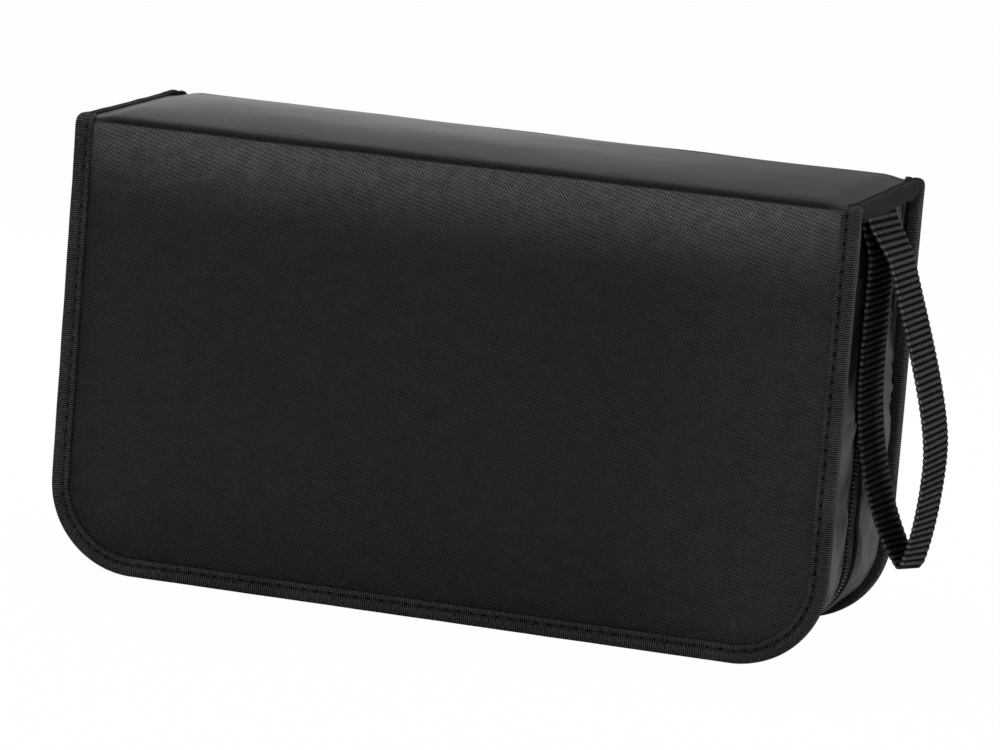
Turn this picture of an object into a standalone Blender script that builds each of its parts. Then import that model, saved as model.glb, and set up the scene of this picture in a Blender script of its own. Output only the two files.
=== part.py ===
"""Zip-round storage case for discs, closed and standing on its long zip edge with the spine on top.

+X runs along the case to the wrist strap, -Y is the front cover, +Z is up. Units are metres.
Depths are measured inwards from the outer face of the binding, on the covers and on the spine alike.
"""

import math

import bmesh
import bpy
from mathutils import Matrix, Vector
from mathutils.geometry import interpolate_bezier

# Overall size, from the outer faces of the edge binding
case_length = 0.300
case_height = 0.171
case_depth = 0.102
corner_radius = 0.034

# Layers of the covers and the spine
clearance = 0.0003
binding_thickness = 0.0009
binding_width = 0.0070
binding_edge_bevel = 0.0008
fabric_thickness = 0.0014
foam_thickness = 0.0015
board_thickness = 0.0015
lining_thickness = 0.0006
cover_crown = 0.0027
foam_crown = 0.0022
pad_rows = 5
pad_columns = 6
spine_crown = 0.0009
spine_rows = 8
spine_columns = 4
fold_radius = 0.0030
fold_steps = 9
fold_eye = 0.0003
fold_lap = math.radians(7)
corner_steps = 6

# Gusset and zip
gusset_thickness = 0.0013
gusset_recess = 0.0045
gusset_end_height = 0.0300
gusset_end_slot = 0.0128
gusset_shoulder = 0.0135
zip_opening = 0.0220
zip_tape_width = 0.0145
zip_tape_thickness = 0.0008
coil_width = 0.0026
coil_height = 0.0016
tooth_pitch = 0.0040
tooth_depth = 0.0013
end_stop_height = 0.0025
end_seam_height = 0.0035

# Slider and pull
slider_length = 0.0125
slider_width = 0.0104
slider_tail_width = 0.0090
slider_plate = 0.0010
slider_corner = 0.0016
slider_park_depth = 0.0205
divider_thickness = 0.0008
divider_length = 0.0028
divider_inset = 0.0006
lip_thickness = 0.0008
lip_low_inset = 0.0018
lip_high_inset = 0.0040
arch_thickness = 0.0009
arch_width = 0.0020
arch_span = 0.0088
arch_foot = 0.0014
pull_length = 0.0290
pull_width = 0.0080
pull_thickness = 0.0012
pull_room = 0.0005
pull_corner = 0.0030
pull_shoulder = 0.0040
eye_room = 0.0006
eye_rim = 0.0013
eye_drop = 0.0012
grip_grooves = 4
groove_pitch = 0.0028
groove_width = 0.0012
groove_depth = 0.0004

# Wrist strap
strap_width = 0.0380
strap_thickness = 0.0016
strap_reach = 0.0243
strap_drop = 0.1312
strap_centre_y = 0.0030
strap_bend_radius = 0.0015
strap_bend_share = 0.76
strap_wall_share = 0.42
strap_bow_share = 0.31
strap_wall_curve = 0.0380
strap_bow_curve = (0.0130, 0.0220)
strap_turn_curve = (0.0090, 0.0130)
strap_rise_curve = (0.0030, 0.0090)
strap_shoulder_curve = (0.0049, 0.0221)

# Disc leaves
leaf_pitch = 0.0060
leaf_slot = 0.0008
leaf_side_room = 0.0160
leaf_bottom_room = 0.0150
leaf_root = 0.0120
leaf_strip_thickness = 0.0015

# Depths that follow from the layers
fabric_out = binding_thickness + clearance
fabric_in = fabric_out + fabric_thickness
flange_out = fabric_in + clearance
flange_in = flange_out + gusset_thickness
binding_back = flange_in + clearance
binding_depth = binding_back + binding_thickness
foam_in = flange_out + foam_thickness
board_out = foam_in + clearance
board_in = board_out + board_thickness
lining_out = board_in + clearance
lining_in = lining_out + lining_thickness

# Insets from the case's outline, as positive distances inwards
edge_inset = binding_thickness + clearance
wall_in = gusset_recess + gusset_thickness
layer_inset = wall_in + clearance
tape_out = wall_in + clearance
tape_in = tape_out + zip_tape_thickness
coil_out = tape_out - clearance - coil_height

# The two rows of teeth stop short of each other by the slider's divider, so the slider can run
chain_gap = divider_thickness + 2 * clearance

# The folds that the two covers swing about
fold_depth = fabric_out + fold_radius
fold_height = case_height - fold_depth
fold_y = case_depth / 2 - fold_depth
fold_bore = fold_radius + clearance
fold_room = fold_radius + 0.8 * clearance
cap_radius = fold_depth
cap_bore = cap_radius + clearance
wall_top = case_height - gusset_end_height
gusset_end_half = case_depth / 2 - fold_depth - cap_bore - clearance

# The whole part is centred on its box, so the case sits back by half of the strap's reach
case_x = -strap_reach / 2
FRONT = -1
REAR = 1
LEFT = -1
RIGHT = 1


def clear_scene():
    for obj in list(bpy.data.objects):
        bpy.data.objects.remove(obj, do_unlink=True)


def material(name, color, roughness, metallic=0.0):
    made = bpy.data.materials.new(name)
    made.use_nodes = True
    shader = made.node_tree.nodes["Principled BSDF"]
    shader.inputs["Base Color"].default_value = (*color, 1.0)
    shader.inputs["Roughness"].default_value = roughness
    shader.inputs["Metallic"].default_value = metallic
    return made


def pivot(name, location, parent=None):
    """An empty on a joint's axis. Its location is given in the case's frame."""
    made = bpy.data.objects.new(name, None)
    made.empty_display_size = 0.01
    bpy.context.scene.collection.objects.link(made)
    made["place"] = location
    if parent:
        made.parent = parent
        made.location = Vector(location) - Vector(parent["place"])
    else:
        made.location = location
    return made


def add_part(name, bm, finish, parent):
    """One solid from a bmesh in the case's frame, hung on its body's empty."""
    bmesh.ops.remove_doubles(bm, verts=bm.verts, dist=1e-6)
    bmesh.ops.recalc_face_normals(bm, faces=bm.faces)
    bmesh.ops.translate(bm, verts=bm.verts, vec=-Vector(parent["place"]))
    mesh = bpy.data.meshes.new(name)
    bm.to_mesh(mesh)
    bm.free()
    mesh.shade_smooth()
    mesh.set_sharp_from_angle(angle=math.radians(35))
    mesh.materials.append(finish)
    made = bpy.data.objects.new(name, mesh)
    bpy.context.scene.collection.objects.link(made)
    made.parent = parent
    return made


def cut(target, operation, tool):
    """A Boolean with a hidden tool object."""
    tool.hide_render = True
    tool.display_type = "WIRE"
    modifier = target.modifiers.new(tool.name, "BOOLEAN")
    modifier.operation = operation
    modifier.solver = "EXACT"
    modifier.object = tool


def loop_of(bm, points):
    verts = [bm.verts.new(point) for point in points]
    return [bm.edges.new((verts[i - 1], verts[i])) for i in range(len(verts))]


def cap(bm, edges):
    bmesh.ops.contextual_create(bm, geom=edges)


def loft(rings):
    """A closed solid through rings of equal count."""
    bm = bmesh.new()
    loops = [loop_of(bm, ring) for ring in rings]
    for first, second in zip(loops, loops[1:]):
        bmesh.ops.bridge_loops(bm, edges=first + second)
    cap(bm, loops[0])
    cap(bm, loops[-1])
    return bm


def extrude_edges(bm, edges, vector):
    made = bmesh.ops.extrude_edge_only(bm, edges=edges)["geom"]
    verts = [item for item in made if isinstance(item, bmesh.types.BMVert)]
    bmesh.ops.translate(bm, verts=verts, vec=vector)
    return [item for item in made if isinstance(item, bmesh.types.BMEdge)]


def prism(points, vector):
    """A flat outline pushed along a vector."""
    bm = bmesh.new()
    start = loop_of(bm, points)
    end = extrude_edges(bm, start, vector)
    cap(bm, start)
    cap(bm, end)
    return bm


def face_y(side, depth):
    return side * (case_depth / 2 - depth)


def end_x(side, inset):
    return case_x + side * (case_length / 2 - inset)


def spin_corner(bm, edges, x):
    geom = list({vert for edge in edges for vert in edge.verts}) + edges
    made = bmesh.ops.spin(
        bm,
        geom=geom,
        cent=(x, 0, corner_radius),
        axis=(0, 1, 0),
        angle=-math.pi / 2,
        steps=corner_steps,
    )["geom_last"]
    return [item for item in made if isinstance(item, bmesh.types.BMEdge)]


def edge_sweep(section, top, side):
    """A section of (inset, depth) points run down one end, round the base and up the other end."""
    bm = bmesh.new()
    start = loop_of(bm, [(end_x(LEFT, inset), face_y(side, depth), top) for inset, depth in section])
    run = extrude_edges(bm, start, (0, 0, corner_radius - top))
    run = spin_corner(bm, run, end_x(LEFT, corner_radius))
    run = extrude_edges(bm, run, (case_length - 2 * corner_radius, 0, 0))
    run = spin_corner(bm, run, end_x(RIGHT, corner_radius))
    run = extrude_edges(bm, run, (0, 0, top - corner_radius))
    cap(bm, start)
    cap(bm, run)
    return bm


def outline_stations(inset, middle_steps, arc_steps=5):
    """(x, lowest z) across a cover's rounded outline, drawn in by an inset."""
    radius = corner_radius - inset
    left = end_x(LEFT, corner_radius)
    right = end_x(RIGHT, corner_radius)
    angles = [math.pi / 2 * step / arc_steps for step in range(arc_steps + 1)]
    arc = [(radius * math.sin(angle), corner_radius - radius * math.cos(angle)) for angle in angles]
    spread = [left + (right - left) * step / middle_steps for step in range(1, middle_steps)]
    return (
        [(left - x, z) for x, z in reversed(arc)]
        + [(x, inset) for x in spread]
        + [(right + x, z) for x, z in arc]
    )


def swell(x, share):
    """How much of the crown a point has: x across the case, share from -1 to 1 along the other way."""
    across = (x - case_x) / (case_length / 2 - binding_width)
    if abs(across) >= 1 or abs(share) >= 1:
        return 0.0
    return (1 - across**4) * (1 - share**4)


def outline_low(x):
    """The height of the case's outline under a place along it."""
    reach = max(abs(x - case_x) - (case_length / 2 - corner_radius), 0)
    return corner_radius - math.sqrt(max(corner_radius**2 - reach**2, 0))


def padded_heights(x):
    """Heights across a cover's padded area, from the binding's inner edge up to the fold."""
    low = outline_low(x) + binding_width
    return [low + (fold_height - low) * row / pad_rows for row in range(pad_rows + 1)]


def cover_swell(x, z):
    """The share of the crown at a place on a cover, none under the binding."""
    low = outline_low(x) + binding_width
    reach = max(abs(x - case_x) - (case_length / 2 - corner_radius), 0)
    drop = max(corner_radius - z, 0)
    past_binding = corner_radius - math.hypot(reach, drop) - binding_width
    rise = min(max(past_binding / binding_width, 0), 1)
    return rise * swell(x, 2 * (z - low) / (fold_height - low) - 1)


def flat_layer(side, out, back):
    """A flat sheet inside a cover, between two depths."""
    top = fold_height - fold_radius - clearance
    rings = []
    near = face_y(side, out)
    far = face_y(side, back)
    for x, low in outline_stations(layer_inset, 1):
        rings.append([(x, near, low), (x, near, top), (x, far, top), (x, far, low)])
    return loft(rings)


def cover_foam(side):
    """The pad behind the fabric: crowned outside and flat against the board."""
    top = fold_height - fold_radius - clearance
    rings = []
    for x, low in outline_stations(layer_inset, pad_columns):
        heights = [low] + padded_heights(x)[1:-1] + [top]
        swells = [0] + [cover_swell(x, z) for z in heights[1:-1]] + [0]
        outer = [(x, face_y(side, flange_out - foam_crown * c), z) for c, z in zip(swells, heights)]
        rings.append(outer + [(x, face_y(side, foam_in), top), (x, face_y(side, foam_in), low)])
    return loft(rings)


def cover_fabric(side):
    """The cover's fabric with the rounded fold along its top edge."""
    meet = math.acos((fold_radius - fabric_thickness) / fold_radius)
    sweep = 2 * math.pi - meet
    angles = [math.pi - sweep * step / fold_steps for step in range(1, fold_steps + 1)]
    fold = [(fold_radius * math.cos(angle), fold_radius * math.sin(angle)) for angle in angles]
    rings = []
    for x, low in outline_stations(edge_inset, pad_columns):
        heights = [low] + padded_heights(x)
        outer = [(x, face_y(side, fabric_out - cover_crown * cover_swell(x, z)), z) for z in heights]
        heights = heights[:-1]
        inner = [(x, face_y(side, fabric_in - cover_crown * cover_swell(x, z)), z) for z in heights]
        bead = [(x, side * (fold_y - across), fold_height + rise) for across, rise in fold]
        rings.append(outer + bead + inner[::-1])
    return loft(rings)


def spine_layer(out, back, inset, edge, crown, crown_back):
    """A sheet of the spine. Its long edges are at the y of edge(depth), which hollows round the folds."""
    start = end_x(LEFT, inset)
    span = end_x(RIGHT, inset) - start
    middle = (out + back) / 2
    shares = [2 * column / spine_columns - 1 for column in range(spine_columns + 1)]
    rings = []
    for row in range(spine_rows + 1):
        x = start + span * row / spine_rows
        top = [(x, edge(out) * s, case_height - out + crown * swell(x, s)) for s in shares]
        bottom = [(x, edge(back) * s, case_height - back + crown_back * swell(x, s)) for s in shares]
        waist = [(x, side * edge(middle), case_height - middle) for side in (1, -1)]
        rings.append(top + waist[:1] + bottom[::-1] + waist[1:])
    return loft(rings)


def hollow_edge(depth):
    rise = fold_depth - depth
    return fold_y - math.sqrt(fold_bore**2 - rise**2)


def straight_edge(depth):
    return fold_y - cap_bore - clearance


def binding_section():
    """The tape folded over an edge, as (inset, depth) points."""
    back_inset = gusset_recess - clearance
    return [
        (binding_width, 0),
        (binding_edge_bevel, 0),
        (0, binding_edge_bevel),
        (0, binding_depth - binding_edge_bevel),
        (binding_edge_bevel, binding_depth),
        (back_inset, binding_depth),
        (back_inset, binding_back),
        (binding_thickness, binding_back),
        (binding_thickness, binding_thickness),
        (binding_width, binding_thickness),
    ]


def fold_cap(side, end):
    """The binding's turn over the end of a fold: a quarter turn of its section about the hinge line."""
    profile = [
        (binding_width, fold_bore),
        (binding_width, cap_radius),
        (0, cap_radius),
        (0, fold_eye),
        (binding_thickness, fold_eye),
        (binding_thickness, fold_bore),
    ]
    across = side * math.cos(fold_lap)
    drop = math.sin(fold_lap)
    bm = bmesh.new()
    start = loop_of(
        bm,
        [(end_x(end, inset), side * fold_y + across * r, fold_height - drop * r) for inset, r in profile],
    )
    geom = list({vert for edge in start for vert in edge.verts}) + start
    made = bmesh.ops.spin(
        bm,
        geom=geom,
        cent=(0, side * fold_y, fold_height),
        axis=(1, 0, 0),
        angle=side * (math.pi / 2 + fold_lap),
        steps=5,
    )["geom_last"]
    cap(bm, start)
    cap(bm, [item for item in made if isinstance(item, bmesh.types.BMEdge)])
    return bm


def fold_rod(side, radius, insets, end):
    """A rod on a cover's hinge line, between two insets from one end of the case."""
    ends = [end_x(end, inset) for inset in insets]
    bm = bmesh.new()
    bmesh.ops.create_cone(
        bm,
        cap_ends=True,
        segments=32,
        radius1=radius,
        radius2=radius,
        depth=abs(ends[1] - ends[0]),
        matrix=Matrix.Translation((sum(ends) / 2, side * fold_y, fold_height))
        @ Matrix.Rotation(math.pi / 2, 4, "Y"),
    )
    return bm


def gusset_section():
    """The gusset: a flange sewn under the binding and a wall towards the zip."""
    wall_end = case_depth / 2 - zip_opening / 2
    return [
        (edge_inset, flange_out),
        (edge_inset, flange_in),
        (gusset_recess, flange_in),
        (gusset_recess, wall_end),
        (wall_in, wall_end),
        (wall_in, flange_out),
    ]


def tape_section():
    middle = case_depth / 2
    return [
        (tape_out, middle - zip_tape_width),
        (tape_out, middle - chain_gap / 2),
        (tape_in, middle - chain_gap / 2),
        (tape_in, middle - zip_tape_width),
    ]


def path_point(distance, top):
    """A place on the case's outline and its outward direction, as (x, z) pairs, from the left end's top."""
    drop = top - corner_radius
    arc = math.pi / 2 * (corner_radius - coil_out)
    base = case_length - 2 * corner_radius
    if distance < drop:
        return (end_x(LEFT, 0), top - distance), (-1, 0)
    if distance > drop + 2 * arc + base:
        return (end_x(RIGHT, 0), corner_radius + distance - drop - 2 * arc - base), (1, 0)
    if drop + arc < distance < drop + arc + base:
        return (end_x(LEFT, corner_radius) + distance - drop - arc, 0), (0, -1)
    end = LEFT if distance <= drop + arc else RIGHT
    turned = (distance - drop) if end == LEFT else (drop + 2 * arc + base - distance)
    angle = math.pi / 2 * turned / arc
    out = (end * math.cos(angle), -math.sin(angle))
    centre = end_x(end, corner_radius)
    return (centre + corner_radius * out[0], corner_radius + corner_radius * out[1]), out


def coil_ring(place, out, side, tip):
    """One cut through a row of teeth, from its sewn edge to a tip or a valley."""
    middle = case_depth / 2
    near = chain_gap / 2 + (0 if tip else tooth_depth)
    far = chain_gap / 2 + coil_width
    back = coil_out + coil_height
    corners = [(coil_out, far), (coil_out, near), (back, near), (back, far)]
    return [
        (place[0] - inset * out[0], face_y(side, middle - across), place[1] - inset * out[1])
        for inset, across in corners
    ]


def zip_coil(side):
    length = 2 * (wall_top - corner_radius) + math.pi * (corner_radius - coil_out)
    length += case_length - 2 * corner_radius
    teeth = round(length / tooth_pitch)
    rings = []
    for step in range(2 * teeth + 1):
        place, out = path_point(length * step / (2 * teeth), wall_top)
        rings.append(coil_ring(place, out, side, step % 2))
    return loft(rings)


def end_chain(end, low, high):
    """The two short rows of teeth by the spine, joined by the end stop above them."""
    chain_height = high - end_stop_height - low
    teeth = round(chain_height / tooth_pitch)
    near = chain_gap / 2
    far = near + coil_width
    rows = []
    for side in (FRONT, REAR):
        row = [(side * far, low)]
        for step in range(2 * teeth + 1):
            across = near + (0 if step % 2 else tooth_depth)
            row.append((side * across, low + chain_height * step / (2 * teeth)))
        rows.append(row)
    front, rear = rows
    points = front + rear[::-1] + [(REAR * far, high), (FRONT * far, high)]
    x = end_x(end, coil_out)
    return prism([(x, y, z) for y, z in points], (-end * coil_height, 0, 0))


def end_tape(end, low, high):
    """The tape ends by the spine, sewn together above the chain."""
    slot_top = high - end_seam_height
    near = chain_gap / 2
    points = [
        (-zip_tape_width, low),
        (-near, low),
        (-near, slot_top),
        (near, slot_top),
        (near, low),
        (zip_tape_width, low),
        (zip_tape_width, high),
        (-zip_tape_width, high),
    ]
    x = end_x(end, tape_out)
    return prism([(x, y, z) for y, z in points], (-end * zip_tape_thickness, 0, 0))


def gusset_end(end):
    """The patch that closes the gusset under the spine: a tapering wall with a slot for the zip."""
    half_low = zip_tape_width - clearance
    slot = gusset_end_slot / 2
    low = wall_top + clearance
    shoulder = wall_top + gusset_shoulder
    slot_top = case_height - binding_depth - clearance
    wall = [
        (-half_low, low),
        (-slot, low),
        (-slot, slot_top - slot / 2),
        (-slot / 2, slot_top),
        (slot / 2, slot_top),
        (slot, slot_top - slot / 2),
        (slot, low),
        (half_low, low),
        (gusset_end_half, shoulder),
        (gusset_end_half, case_height - flange_out),
        (-gusset_end_half, case_height - flange_out),
        (-gusset_end_half, shoulder),
    ]
    x = end_x(end, gusset_recess)
    return prism([(x, y, z) for y, z in wall], (-end * gusset_thickness, 0, 0))


def end_flange(end):
    """The part of the patch that is sewn in under the binding of the spine's end."""
    low = case_height - flange_in
    high = case_height - flange_out
    points = [
        (end_x(end, edge_inset), low),
        (end_x(end, wall_in), low),
        (end_x(end, wall_in), high),
        (end_x(end, edge_inset), high),
    ]
    return prism([(x, -gusset_end_half, z) for x, z in points], (0, 2 * gusset_end_half, 0))


def box(low, high):
    bm = bmesh.new()
    bmesh.ops.create_cube(bm, size=1.0)
    size = [high[i] - low[i] for i in range(3)]
    centre = [(high[i] + low[i]) / 2 for i in range(3)]
    bmesh.ops.scale(bm, verts=bm.verts, vec=size)
    bmesh.ops.translate(bm, verts=bm.verts, vec=centre)
    return bm


def strap_path():
    """The strap's centre line as (x, z) points: down the end wall, round the bend and back up in a bow."""
    half = strap_thickness / 2
    top = case_height - binding_depth - clearance
    low = top - strap_drop
    inner_x = end_x(RIGHT, coil_out - clearance - half)
    outer_x = inner_x + strap_thickness + clearance
    reach_x = end_x(RIGHT, 0) + strap_reach - half
    inner_top = Vector((inner_x, top))
    outer_top = Vector((outer_x, top))
    off_wall = Vector((inner_x, top - strap_wall_share * strap_drop))
    bend = Vector((inner_x + strap_bend_share * (reach_x - inner_x), low))
    inner_end = bend + Vector((-strap_bend_radius, strap_bend_radius))
    outer_start = bend + Vector((strap_bend_radius, strap_bend_radius))
    low_point = bend - Vector((0, strap_bend_radius / 4))
    bow = Vector((reach_x, low + strap_bow_share * strap_drop))

    turn = inner_end + Vector((-strap_turn_curve[0], strap_turn_curve[1]))
    inner = interpolate_bezier(off_wall, off_wall - Vector((0, strap_wall_curve)), turn, inner_end, 9)
    rise = outer_start + Vector(strap_rise_curve)
    outer = interpolate_bezier(outer_start, rise, bow - Vector((0, strap_bow_curve[0])), bow, 7)
    shoulder = outer_top + Vector((strap_shoulder_curve[0], -strap_shoulder_curve[1]))
    back = interpolate_bezier(bow, bow + Vector((0, strap_bow_curve[1])), shoulder, outer_top, 12)
    wall = [inner_top.lerp(off_wall, step / 3) for step in range(3)]
    return wall + inner + [low_point] + outer + back[1:]


def wrist_strap():
    """Webbing lofted along its centre line."""
    path = strap_path()
    half = strap_thickness / 2
    low_y = strap_centre_y - strap_width / 2
    high_y = strap_centre_y + strap_width / 2
    rings = []
    for i, point in enumerate(path):
        along = (path[min(i + 1, len(path) - 1)] - path[max(i - 1, 0)]).normalized()
        if i == 0:
            along = Vector((0, -1))
        if i == len(path) - 1:
            along = Vector((0, 1))
        across = Vector((along[1], -along[0])) * half
        one = point + across
        other = point - across
        outer = [(one[0], y, one[1]) for y in (low_y, high_y)]
        inner = [(other[0], y, other[1]) for y in (high_y, low_y)]
        rings.append(outer + inner)
    return loft(rings)


def sleeve_leaves():
    """The stack of disc leaves, free at the base and joined along their bound edge."""
    room = case_depth - 2 * (lining_in + clearance)
    count = int(room / leaf_pitch)
    stack = count * leaf_pitch - leaf_slot
    low = leaf_bottom_room
    high = case_height - lining_in - 2 * clearance - leaf_strip_thickness
    root = high - leaf_root
    outline = [(-stack / 2, high), (-stack / 2, low)]
    for leaf in range(count - 1):
        edge = -stack / 2 + (leaf + 1) * leaf_pitch
        outline += [(edge - leaf_slot, low), (edge - leaf_slot, root), (edge, root), (edge, low)]
    outline += [(stack / 2, low), (stack / 2, high)]
    x = end_x(LEFT, leaf_side_room)
    length = case_length - 2 * leaf_side_room
    return prism([(x, y, z) for y, z in outline], (length, 0, 0)), stack, high


def plate(low, high, inset):
    """A plate of the slider, narrower at its tail."""
    tail = slider_tail_width / 2
    wide = slider_width / 2
    outline = [
        (-tail + slider_corner, low),
        (tail - slider_corner, low),
        (tail, low + slider_corner),
        (wide, high - 2 * slider_corner),
        (wide - slider_corner, high),
        (-wide + slider_corner, high),
        (-wide, high - 2 * slider_corner),
        (-tail, low + slider_corner),
    ]
    x = end_x(LEFT, inset)
    return prism([(x, y, z) for y, z in outline], (slider_plate, 0, 0))


def build_case():
    clear_scene()
    twill = material("black_twill", (0.018, 0.019, 0.018), 0.62)
    taffeta = material("black_taffeta", (0.016, 0.017, 0.018), 0.5)
    grosgrain = material("black_grosgrain", (0.014, 0.015, 0.014), 0.6)
    webbing = material("black_webbing", (0.022, 0.022, 0.021), 0.6)
    foam = material("grey_foam", (0.12, 0.12, 0.12), 0.9)
    board = material("grey_board", (0.30, 0.28, 0.25), 0.8)
    lining = material("black_lining", (0.015, 0.015, 0.016), 0.55)
    coil = material("black_nylon_coil", (0.02, 0.02, 0.02), 0.35)
    enamel = material("black_enamel", (0.012, 0.012, 0.012), 0.3, 0.4)
    film = material("clear_film", (0.35, 0.36, 0.36), 0.25)

    case = pivot("case", (0, 0, 0))
    slider_height = case_height - slider_park_depth
    slider_way = pivot("slider_way", (end_x(LEFT, 0), 0, slider_height), case)
    pull_inset = arch_thickness + pull_room + pull_thickness / 2
    pull_pivot = pivot("pull_pivot", (end_x(LEFT, pull_inset), 0, slider_height), slider_way)

    for name, side in (("front", FRONT), ("rear", REAR)):
        hinge = pivot(f"{name}_fold", (case_x, side * fold_y, fold_height), case)
        add_part(f"{name}_cover_fabric", cover_fabric(side), twill, hinge)
        add_part(f"{name}_cover_foam", cover_foam(side), foam, hinge)
        add_part(f"{name}_cover_board", flat_layer(side, board_out, board_in), board, hinge)
        add_part(f"{name}_cover_lining", flat_layer(side, lining_out, lining_in), lining, hinge)
        tape = edge_sweep(binding_section(), fold_height, side)
        binding = add_part(f"{name}_binding", tape, grosgrain, hinge)
        for end_name, end in (("left", LEFT), ("right", RIGHT)):
            room = fold_rod(side, fold_room, (binding_thickness, 2 * binding_width), end)
            cut(binding, "DIFFERENCE", add_part(f"{name}_fold_room_{end_name}", room, grosgrain, hinge))
            turn = add_part(f"{name}_binding_turn_{end_name}", fold_cap(side, end), grosgrain, hinge)
            cut(binding, "UNION", turn)
        add_part(f"{name}_gusset", edge_sweep(gusset_section(), wall_top, side), taffeta, hinge)
        add_part(f"{name}_zip_tape", edge_sweep(tape_section(), wall_top, side), taffeta, hinge)
        add_part(f"{name}_zip_coil", zip_coil(side), coil, hinge)

    turn_reach = (-binding_width, binding_width + clearance)
    cutters = {
        (side, end): add_part(
            f"turn_room_{side + 1}_{end + 1}", fold_rod(side, cap_bore, turn_reach, end), twill, case
        )
        for side in (FRONT, REAR)
        for end in (LEFT, RIGHT)
    }
    spine = spine_layer(fabric_out, fabric_in, edge_inset, hollow_edge, spine_crown, spine_crown)
    spine_fabric = add_part("spine_fabric", spine, twill, case)
    for cutter in cutters.values():
        cut(spine_fabric, "DIFFERENCE", cutter)
    pad = spine_layer(flange_out, foam_in, layer_inset, straight_edge, spine_crown, 0)
    add_part("spine_foam", pad, foam, case)
    stiffener = spine_layer(board_out, board_in, layer_inset, straight_edge, 0, 0)
    add_part("spine_board", stiffener, board, case)
    cover = spine_layer(lining_out, lining_in, layer_inset, straight_edge, 0, 0)
    add_part("spine_lining", cover, lining, case)

    tape_top = case_height - lining_in - clearance
    for end_name, end in (("left", LEFT), ("right", RIGHT)):
        section = [(end_x(end, inset), case_height - depth) for inset, depth in binding_section()]
        tape = prism([(x, -fold_y, z) for x, z in section], (0, 2 * fold_y, 0))
        bound = add_part(f"spine_binding_{end_name}", tape, grosgrain, case)
        for side in (FRONT, REAR):
            cut(bound, "DIFFERENCE", cutters[side, end])
        patch = add_part(f"gusset_end_{end_name}", gusset_end(end), taffeta, case)
        flange = add_part(f"gusset_end_flange_{end_name}", end_flange(end), taffeta, case)
        cut(patch, "UNION", flange)
        add_part(f"zip_end_tape_{end_name}", end_tape(end, wall_top + clearance, tape_top), taffeta, case)
        chain_top = case_height - binding_depth - 2 * clearance - gusset_end_slot / 4
        add_part(f"zip_end_chain_{end_name}", end_chain(end, wall_top + clearance, chain_top), coil, case)

    add_part("wrist_strap", wrist_strap(), webbing, case)
    leaves, stack, leaf_top = sleeve_leaves()
    add_part("sleeve_leaves", leaves, film, case)
    strip = box(
        (end_x(LEFT, leaf_side_room), -stack / 2, leaf_top + clearance),
        (end_x(RIGHT, leaf_side_room), stack / 2, leaf_top + clearance + leaf_strip_thickness),
    )
    add_part("leaf_strip", strip, lining, case)
    build_slider(slider_way, slider_height, enamel)
    build_pull(pull_pivot, slider_height, enamel)


def build_slider(parent, middle, finish):
    """Two plates round the chain, joined by the divider at the mouth, with lips at the sides and an arch."""
    low = middle - slider_length / 2
    high = middle + slider_length / 2
    outer_face = coil_out - clearance - slider_plate
    inner_face = tape_in + clearance
    outer_middle = outer_face + slider_plate / 2
    slider = add_part("zip_slider", plate(low, high, outer_face), finish, parent)
    half_divider = divider_thickness / 2
    divider_top = high - divider_inset
    tools = [
        plate(low, high, inner_face),
        box(
            (end_x(LEFT, outer_middle), -half_divider, divider_top - divider_length),
            (end_x(LEFT, inner_face + slider_plate / 2), half_divider, divider_top),
        ),
    ]
    lip_near = chain_gap / 2 + coil_width + clearance
    for side in (FRONT, REAR):
        reach = sorted((side * lip_near, side * (lip_near + lip_thickness)))
        tools.append(
            box(
                (end_x(LEFT, outer_middle), reach[0], low + lip_low_inset),
                (end_x(LEFT, tape_out - clearance), reach[1], high - lip_high_inset),
            )
        )
    arch_half = arch_width / 2
    for foot in (-1, 1):
        spot = middle + foot * arch_span / 2
        reach = sorted((spot, spot - foot * arch_foot))
        tools.append(
            box(
                (end_x(LEFT, arch_thickness / 2), -arch_half, reach[0]),
                (end_x(LEFT, outer_middle), arch_half, reach[1]),
            )
        )
    tools.append(
        box(
            (end_x(LEFT, 0), -arch_half, middle - arch_span / 2),
            (end_x(LEFT, arch_thickness), arch_half, middle + arch_span / 2),
        )
    )
    for number, tool in enumerate(tools):
        cut(slider, "UNION", add_part(f"slider_piece_{number}", tool, finish, parent))


def build_pull(parent, middle, finish):
    """A flat tab with an eye round the slider's arch, hanging down over the zip."""
    half = pull_width / 2
    eye_half = arch_width / 2 + eye_room
    neck = eye_half + eye_rim
    bar = pull_thickness / 2
    top = middle + bar
    foot = top - pull_length
    eye_low = middle - arch_span / 2 - eye_drop
    collar = eye_low - eye_rim
    outline = [
        (-neck, top),
        (-neck, collar),
        (-half, collar - pull_shoulder),
        (-half, foot + pull_corner),
        (-half + pull_corner, foot),
        (half - pull_corner, foot),
        (half, foot + pull_corner),
        (half, collar - pull_shoulder),
        (neck, collar),
        (neck, top),
    ]
    x = end_x(LEFT, arch_thickness + pull_room)
    body = prism([(x, y, z) for y, z in outline], (pull_thickness, 0, 0))
    tab = add_part("zip_pull", body, finish, parent)
    eye = box(
        (x - pull_thickness, -eye_half, eye_low),
        (x + 2 * pull_thickness, eye_half, middle - bar),
    )
    cut(tab, "DIFFERENCE", add_part("pull_eye", eye, finish, parent))
    for row in range(grip_grooves):
        low = foot + pull_corner + groove_width + groove_pitch * row
        groove = box(
            (x - pull_thickness, -half + groove_width, low),
            (x + groove_depth, half - groove_width, low + groove_width),
        )
        cut(tab, "DIFFERENCE", add_part(f"pull_groove_{row}", groove, finish, parent))


build_case()
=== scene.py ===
"""The looks of a zip-round disc case that stands on its zip edge, with its spine on top and a wrist strap."""

import math

import bmesh
import bpy
from mathutils import Matrix, Vector, noise
from mathutils.geometry import interpolate_bezier


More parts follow.
